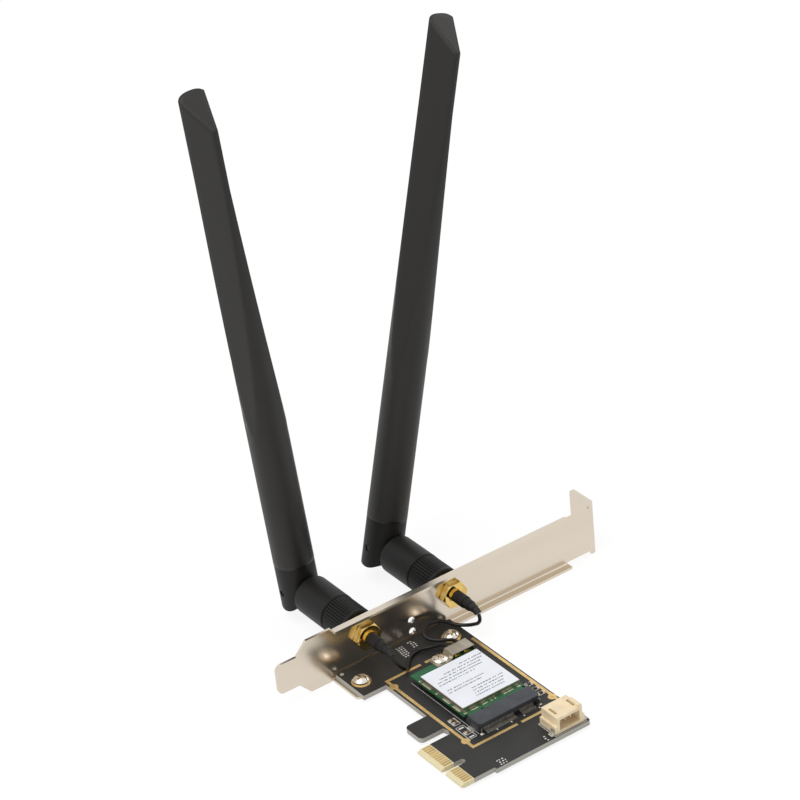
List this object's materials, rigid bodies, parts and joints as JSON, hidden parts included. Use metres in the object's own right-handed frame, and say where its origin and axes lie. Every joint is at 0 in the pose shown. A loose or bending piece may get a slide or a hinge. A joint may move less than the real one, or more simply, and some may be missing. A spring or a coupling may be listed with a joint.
{
  "type": "pcie wifi card",
  "caption": "PCIe x1 wifi card: black board on a folded full-height bracket, plug-in radio module, gold aerial jacks and long swivelling black antennas.",
  "frame": {"origin": "edge connector datum: key centre line, at the connector's tip edge, at mid thickness of the board", "axes": "+X from the connector's tip up the card to the bracket's screw flange, +Y from the key to the bracket and out along the aerial jacks, +Z the component side, upwards as it lies"},
  "size_m": [0.12, 0.111, 0.1803],
  "materials": {
    "nickel_sheet": "polished nickel",
    "black_mask": "satin solder mask",
    "gold_plate": "polished",
    "nickel_screw": "polished",
    "socket_slate": "satin",
    "tin": "satin",
    "module_green": "satin solder mask",
    "shield_tin": "satin",
    "label_white": "matt",
    "header_nylon": "satin",
    "chip_ceramic": "satin",
    "jack_gold": "polished gold plate",
    "ptfe": "satin",
    "shrink_black": "matt",
    "coax_jacket": "satin",
    "antenna_black": "fine matt",
    "pin_steel": "blackened"
  },
  "bodies": {
    "card": {"bracket": "nickel_sheet", "carrier_board": "black_mask", "edge_contacts": "gold_plate", "ground_trace": "gold_plate", "board_screws": "nickel_screw", "m2_socket": "socket_slate", "m2_socket_contacts": "tin", "m2_socket_tabs": "tin", "module_board": "module_green", "module_contacts": "gold_plate", "module_shield": "shield_tin", "module_label": "label_white", "module_standoff": "jack_gold", "module_screw": "nickel_screw", "coax_clip": "shield_tin", "header_housing": "header_nylon", "header_pins": "tin", "header_tabs": "tin", "chip_parts": "chip_ceramic", "jack_washers": "jack_gold", "jack_nuts": "jack_gold", "jack_body_left": "jack_gold", "jack_insulator_left": "ptfe", "jack_pin_left": "gold_plate", "jack_sleeve_left": "shrink_black", "pigtail_left": "coax_jacket", "coax_receptacle_left": "gold_plate", "coax_plug_left": "jack_gold", "jack_body_right": "jack_gold", "jack_insulator_right": "ptfe", "jack_pin_right": "gold_plate", "jack_sleeve_right": "shrink_black", "pigtail_right": "coax_jacket", "coax_receptacle_right": "gold_plate", "coax_plug_right": "jack_gold"},
    "nut_left": {"coupling_sleeve_left": "antenna_black", "coupling_insert_left": "jack_gold"},
    "base_left": {"plug_ferrule_left": "jack_gold", "plug_insulator_left": "ptfe", "plug_contact_left": "gold_plate", "swivel_base_left": "antenna_black"},
    "mast_left": {"hinge_pin_left": "pin_steel", "mast_fork_left": "antenna_black", "mast_shell_left": "antenna_black", "feed_coax_left": "coax_jacket", "radiator_left": "jack_gold"},
    "nut_right": {"coupling_sleeve_right": "antenna_black", "coupling_insert_right": "jack_gold"},
    "base_right": {"plug_ferrule_right": "jack_gold", "plug_insulator_right": "ptfe", "plug_contact_right": "gold_plate", "swivel_base_right": "antenna_black"},
    "mast_right": {"hinge_pin_right": "pin_steel", "mast_fork_right": "antenna_black", "mast_shell_right": "antenna_black", "feed_coax_right": "coax_jacket", "radiator_right": "jack_gold"}
  },
  "joints": [
    {"name": "nut_turn_left", "type": "hinge", "parent": "card", "child": "nut_left", "pos_m": [0.01595, 0.0686, 0.00924], "axis": [0, 1, 0], "continuous": true},
    {"name": "swivel_left", "type": "hinge", "parent": "card", "child": "base_left", "pos_m": [0.01595, 0.074, 0.00924], "axis": [0, 1, 0], "range_deg": [-175.8, 4.2]},
    {"name": "tilt_left", "type": "hinge", "parent": "base_left", "child": "mast_left", "pos_m": [0.01595, 0.0952, 0.00924], "axis": [0.9973, 0, 0.0732], "range_deg": [-90, 0]},
    {"name": "nut_turn_right", "type": "hinge", "parent": "card", "child": "nut_right", "pos_m": [0.04795, 0.0686, 0.00924], "axis": [0, 1, 0], "continuous": true},
    {"name": "swivel_right", "type": "hinge", "parent": "card", "child": "base_right", "pos_m": [0.04795, 0.074, 0.00924], "axis": [0, 1, 0], "range_deg": [-14.3, 165.7]},
    {"name": "tilt_right", "type": "hinge", "parent": "base_right", "child": "mast_right", "pos_m": [0.04795, 0.0952, 0.00924], "axis": [0.969, 0, -0.247], "range_deg": [-90, 0]}
  ]
}
